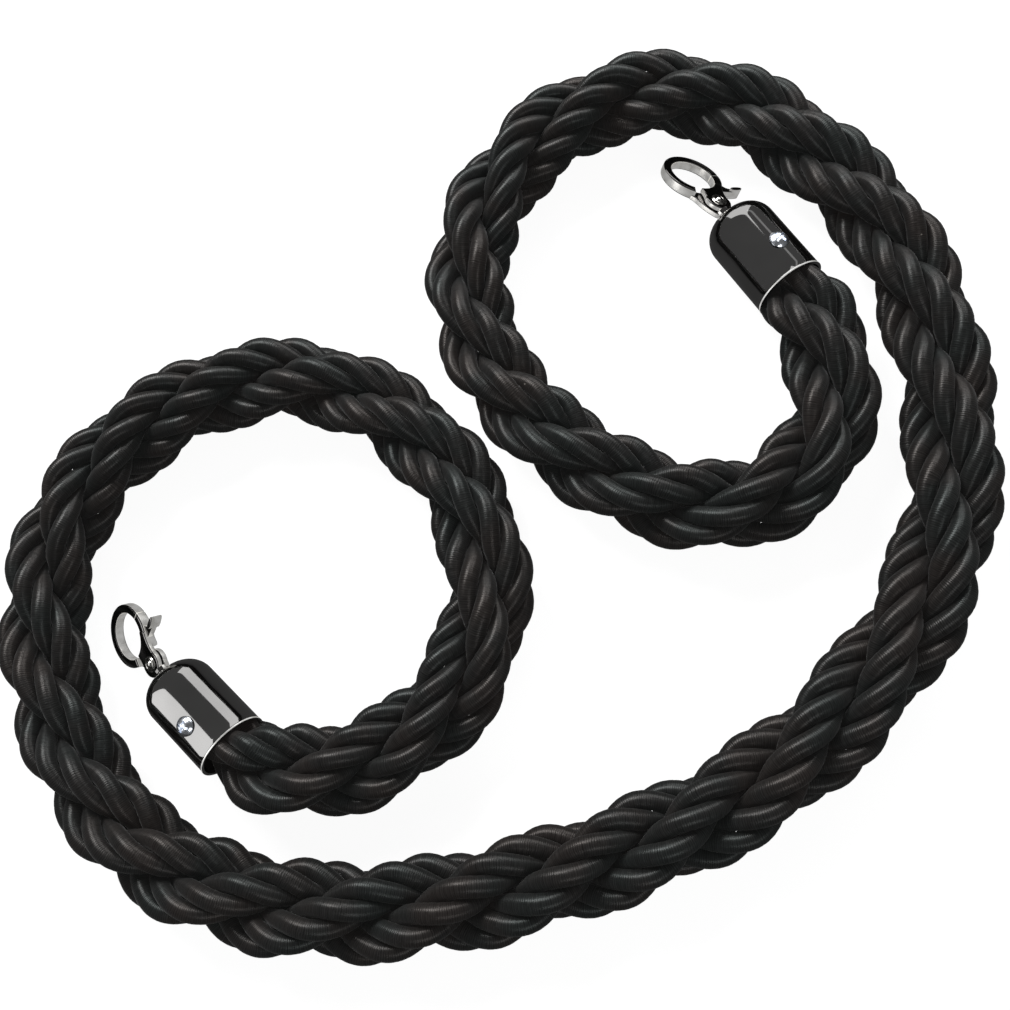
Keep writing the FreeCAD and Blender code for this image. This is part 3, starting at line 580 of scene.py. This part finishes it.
def plate(points, z0, z1, edge):
    """Mesh of a flat piece with the given outline and rounded edges, in local mm."""
    cu = bpy.data.curves.new("outline", "CURVE")
    cu.dimensions = "2D"
    cu.fill_mode = "BOTH"
    sp = cu.splines.new("POLY")
    sp.points.add(len(points) - 1)
    for pt, (x, y) in zip(sp.points, points):
        pt.co = (x, y, 0, 1)
    sp.use_cyclic_u = True
    cu.extrude = (z1 - z0) / 2 - edge
    cu.bevel_depth = edge
    cu.bevel_resolution = 3
    cu.offset = -edge
    ob = bpy.data.objects.new("outline", cu)
    bpy.context.scene.collection.objects.link(ob)
    deps = bpy.context.evaluated_depsgraph_get()
    me = bpy.data.meshes.new_from_object(ob.evaluated_get(deps))
    bpy.data.objects.remove(ob)
    bpy.data.curves.remove(cu)
    me.transform(Matrix.Translation((0, 0, (z0 + z1) / 2)))
    return me


def turned(profile, around=96):
    """Mesh of revolution about local x of an open or closed outline of (x, r)."""
    n = len(profile)
    a = np.arange(around) * 2 * math.pi / around
    v = [(x, r * math.cos(t), r * math.sin(t)) for x, r in profile for t in a]
    f = []
    for i in range(n):
        k = (i + 1) % n
        for j in range(around):
            l = (j + 1) % around
            f.append((i * around + j, i * around + l, k * around + l, k * around + j))
    me = bpy.data.meshes.new("turned")
    me.from_pydata(v, [], f)
    return me


def metal_piece(name, meshes, matrix, side=None, top=None, wn=True):
    """Joins local meshes; faces that look sideways take the side material."""
    bm = bmesh.new()
    for me in meshes:
        bm.from_mesh(me)
        bpy.data.meshes.remove(me)
    bmesh.ops.remove_doubles(bm, verts=bm.verts, dist=0.0005)
    bmesh.ops.recalc_face_normals(bm, faces=bm.faces)
    bm.normal_update()
    for f in bm.faces:
        f.smooth = True
        if side is not None:
            f.material_index = 1 if side(f) else 0
    for e in bm.edges:
        if len(e.link_faces) == 2 and e.calc_face_angle(0.0) > math.radians(38):
            e.smooth = False
    me = bpy.data.meshes.new(name)
    bm.to_mesh(me)
    bm.free()
    me.transform(matrix)
    if matrix.to_3x3().determinant() < 0:
        me.flip_normals()
    ob = bpy.data.objects.new(name, me)
    bpy.context.scene.collection.objects.link(ob)
    if wn:
        w = ob.modifiers.new("normals", "WEIGHTED_NORMAL")
        w.keep_sharp = True
        w.weight = 60
    return ob


def cap_mesh():
    s, w, L, R = CAP_SHOULDER, CAP_WALL, CAP_LEN, CAP_R
    prof = [(0.12, R - w + 0.12), (0.0, R - w + 0.3)]
    prof += [(0.0, R - 0.25), (0.04, R - 0.02)]
    prof += [(0.12, R + 0.10), (0.28, R + 0.16), (0.48, R + 0.17), (0.66, R + 0.12), (0.8, R + 0.04), (0.95, R)]
    prof += [(x, R) for x in (2.5, 8.0, 14.0, 20.0, L - s - 2, L - s - 0.6)]
    prof += [(L - s + s * math.sin(math.radians(a)), R - s + s * math.cos(math.radians(a))) for a in range(0, 91, 5)]
    prof += [(L, HOLE_R + 0.15), (L - 0.15, HOLE_R), (L - w, HOLE_R)]
    prof += [(L - w, R - s)]
    prof += [(L - s + (s - w) * math.sin(math.radians(a)), R - s + (s - w) * math.cos(math.radians(a))) for a in range(90, -1, -10)]
    prof += [(2.0, R - w)]
    return turned(prof)


def body_meshes():
    arm = plate(arc(RING_AT, 0, RING_OUT, SEAM, SPLIT[0]) + arc(RING_AT, 0, RING_IN, SPLIT[0], SEAM), -RING_T, RING_T, 0.75)
    web = plate(rounded([(RING_AT + RING_OUT * math.cos(math.radians(SEAM + 8)), RING_OUT * math.sin(math.radians(SEAM + 8))),
                         (5.6, -6.6), (1.0, -6.1), (-3.6, -4.3), (-5.9, -2.9), (-5.9, 2.9), (-3.0, 4.1), (0.0, 5.0), (4.0, 3.1), (6.0, 0.8)]
                        + arc(RING_AT, 0, RING_IN, -168, SEAM + 8, 8)), LAP, RING_T, 0.35)
    eye = plate(arc(0, 0, EYE_R, 0, 352, 8), LAP, FLAP, 0.5)
    boss = turned([(-6.2, 0.01), (-6.2, 2.3), (-6.05, 2.5), (-5.5, 2.8), (-4.6, 3.0), (-4.6, 0.01)], 40)
    return [arm, web, eye, boss]


def gate_meshes():
    arm = plate(arc(RING_AT, 0, RING_OUT, SPLIT[1], 125) + [(8.0, 8.6), (6.3, 7.1), (4.2, 6.1), (3.6, 5.2), (4.3, 4.1), (5.4, 3.3), (7.2, 3.4)]
                + arc(RING_AT, 0, RING_IN, 156, SPLIT[1]), -RING_T, RING_T, 0.7)
    front = plate(rounded([(RING_AT + RING_OUT * math.cos(math.radians(130)), RING_OUT * math.sin(math.radians(130))),
                           (6.3, 7.1), (3.3, 5.6), (0.0, 5.0), (-1.0, 0.0), (2.0, -4.4), (5.6, -3.0)]
                          + arc(RING_AT, 0, RING_IN, 197, 130, 6)), -FLAP, -LAP, 0.6)
    eye = plate(arc(0, 0, EYE_R, 0, 352, 8), -FLAP - 0.01, -LAP, 0.6)
    tab = plate(rounded([(10.2, 9.9), (9.0, 9.2), (7.4, 8.0), (6.3, 7.1), (6.0, 9.0), (5.5, 12.0), (5.3, 16.9), (6.8, 16.9), (7.3, 13.0), (8.3, 10.8)], 2),
                -1.2, 1.2, 0.35)
    paddle = plate(rounded([(5.42, 11.6), (5.3, 17.0), (6.9, 17.0), (7.35, 11.6)], 2), -2.3, 2.3, 0.5)
    return [arm, front, eye, tab, paddle]


def looks_sideways(f):
    return abs(f.normal.z) < 0.28


for _n, (_mouth, _out) in MOUTHS.items():
    _d = math.radians(3.0)
    _x = Vector((_out[0] * math.cos(_d), _out[1] * math.cos(_d), -math.sin(_d)))
    _y = Vector((0, 0, 1)).cross(_x).normalized()
    _z = _x.cross(_y)
    # the lip ring of the cap takes the pale glowing material: painted highlight on the rim
    _cap = metal_piece("drawn_cap_%d" % _n, [cap_mesh()], axes(_mouth, _x, _y, _z),
                       side=lambda f: f.calc_center_median().x < 0.6 and -0.8 < f.normal.x and f.calc_center_median().yz.length > CAP_R - 0.15, wn=False)
    _cap.data.materials.append(M_CAP)
    _cap.data.materials.append(M_LIP_GLOW)
    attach(_cap, "rope_1" if _n == 1 else "rope_7")
    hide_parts("end_cap_%d" % _n)

    _frame = axes(*HOOKS[_n])
    for _nm, _parts, _body, _node in (("cast_jaw_%d" % _n, body_meshes(), "hook_%d" % _n, "hook_body_%d" % _n),
                                      ("cast_gate_%d" % _n, gate_meshes(), "gate_%d" % _n, "hook_gate_%d" % _n)):
        # faces that look sideways take the pale glowing copy of the metal: painted reflection on the hook sides
        _ob = metal_piece(_nm, _parts, _frame, side=looks_sideways)
        _ob.data.materials.append(M_HOOK)
        _ob.data.materials.append(M_HOOK_SIDE_GLOW)
        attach(_ob, _body)
        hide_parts(_node)

# ------------------------------------------------------------------ stage, light, camera
scene = bpy.context.scene
scene.view_settings.view_transform = "Standard"
scene.view_settings.look = "None"

_me = bpy.data.meshes.new("floor")
_me.from_pydata([(-6, -6, -0.0002), (6, -6, -0.0002), (6, 6, -0.0002), (-6, 6, -0.0002)], [], [(0, 1, 2, 3)])
floor = bpy.data.objects.new("floor", _me)
scene.collection.objects.link(floor)
_m, _nt, _bs = new_material("floor_paper")
_tc = node(_nt, "ShaderNodeTexCoord").outputs["Object"]
_n = node(_nt, "ShaderNodeTexNoise")
_n.inputs["Scale"].default_value = 8.0
_nt.links.new(_tc, _n.inputs["Vector"])
_lp = node(_nt, "ShaderNodeLightPath")
_mx = node(_nt, "ShaderNodeMix", data_type="RGBA")
_nt.links.new(_lp.outputs["Is Glossy Ray"], _mx.inputs["Factor"])
_nt.links.new(ramp(_nt, _n.outputs["Fac"], [(0.3, (0.13, 0.13, 0.13)), (0.7, (0.14, 0.14, 0.14))]), _mx.inputs[6])
_mx.inputs[7].default_value = (0.02, 0.02, 0.02, 1)
_nt.links.new(_mx.outputs[2], _bs.inputs["Base Color"])
_bs.inputs["Roughness"].default_value = 0.9
_bs.inputs["Specular IOR Level"].default_value = 0.0
_bs.inputs["Emission Color"].default_value = (1, 1, 1, 1)
# softly lit from below, as on a light table; dim in the polished metal
_e = math_node(_nt, "MULTIPLY_ADD", _lp.outputs["Is Camera Ray"], 0.62)
_e.node.inputs[2].default_value = 0.32
_e = math_node(_nt, "MULTIPLY", _e, math_node(_nt, "SUBTRACT", 1.0, math_node(_nt, "MULTIPLY", _lp.outputs["Is Glossy Ray"], 0.86)))
_nt.links.new(_e, _bs.inputs["Emission Strength"])
floor.data.materials.append(_m)

# the floor stays under the lowest part of the rope when it bends down
_drv = floor.driver_add("location", 2).driver
_drv.type = "MIN"
for _i in range(SECTIONS):
    for _q in ((0.5,) if _i == 3 else (0.05, 0.35, 0.65, 0.95)):
        _s0, _s1 = ([FREE0] + CUTS)[_i], (CUTS + [FREE1])[_i]
        _pt = frame_at(np.array([_s0 + (_s1 - _s0) * _q]))[0][0]
        _mark = bpy.data.objects.new("ground_mark_%d_%d" % (_i + 1, int(_q * 100)), None)
        _mark.empty_display_size = 0.002
        scene.collection.objects.link(_mark)
        _mark.location = (_pt[0] * MM, _pt[1] * MM, 0.0)
        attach(_mark, "rope_%d" % (_i + 1))
        _var = _drv.variables.new()
        _var.name = "z_%d_%d" % (_i + 1, int(_q * 100))
        _var.type = "TRANSFORMS"
        _var.targets[0].id = _mark
        _var.targets[0].transform_type = "LOC_Z"
        _var.targets[0].transform_space = "WORLD_SPACE"


def area(name, loc, target, size, power, colour=(1, 1, 1)):
    l = bpy.data.lights.new(name, "AREA")
    l.shape = "RECTANGLE"
    l.size, l.size_y = size
    l.energy = power
    l.color = colour
    o = bpy.data.objects.new(name, l)
    o.location = loc
    o.visible_camera = False
    o.rotation_mode = "QUATERNION"
    o.rotation_quaternion = (Vector(target) - Vector(loc)).to_track_quat("-Z", "Y")
    scene.collection.objects.link(o)
    return o


METAL = ("end_cap", "drawn_cap", "hook_body", "hook_gate", "cast_jaw", "cast_gate", "swivel_collar")
polished = bpy.data.collections.new("polished")
matt = bpy.data.collections.new("matt")
for _o in list(scene.objects):
    if _o.type == "MESH":
        if _o.name.startswith(METAL) or (_o.parent and _o.parent.name.startswith(METAL)):
            polished.objects.link(_o)
        else:
            matt.objects.link(_o)
        if _o.name.startswith(("cap_screw", "gate_rivet")):
            polished.objects.link(_o)


def only(light, receivers):
    light.light_linking.receiver_collection = receivers


only(area("key", (-0.55, 0.75, 0.95), (0, 0, 0), (0.6, 0.45), 20), matt)
only(area("north", (0.25, 0.95, 0.55), (0.05, 0.12, 0.03), (0.9, 0.6), 9), matt)
only(area("front", (0.5, -0.85, 0.8), (0, 0, 0), (0.6, 0.4), 3), matt)


def card(name, centre, target, size, radiance):
    only(area(name, centre, target, size, radiance * math.pi * size[0] * size[1]), polished)


card("card_behind", (-0.01, 0.33, 0.125), (-0.10, -0.085, 0.02), (0.30, 0.28), 1.15)
card("card_left", (-0.39, -0.19, 0.19), (-0.10, -0.085, 0.02), (0.26, 0.50), 1.45)
card("card_right", (0.26, 0.46, 0.31), (0.10, 0.09, 0.02), (0.25, 0.05), 0.32)

world = bpy.data.worlds.new("studio")
scene.world = world
world.use_nodes = True
_nt = world.node_tree
_bg = _nt.nodes["Background"]
_bg.inputs[0].default_value = (1, 1, 1, 1)
_lp = node(_nt, "ShaderNodeLightPath")
_w = math_node(_nt, "MULTIPLY_ADD", _lp.outputs["Is Camera Ray"], 0.70)
_w.node.inputs[2].default_value = 0.26
_w = math_node(_nt, "MULTIPLY", _w, math_node(_nt, "SUBTRACT", 1.0, math_node(_nt, "MULTIPLY", _lp.outputs["Is Glossy Ray"], 0.6)))
_nt.links.new(_w, _bg.inputs[1])

cam = bpy.data.cameras.new("camera")
cam.sensor_width = 36.0
cam.lens = 36.0 * 1083.0657 / 1010.0
cam.clip_start, cam.clip_end = 0.02, 20
cam_ob = bpy.data.objects.new("camera", cam)
scene.collection.objects.link(cam_ob)
cam_ob.matrix_world = Matrix((
    (0.98581455, 0.0, 0.16783822, 0.075297),
    (0.0441747, 0.96474181, -0.25946451, -0.112141),
    (-0.16192055, 0.2631981, 0.95105652, 0.381664),
    (0, 0, 0, 1)))
scene.camera = cam_ob
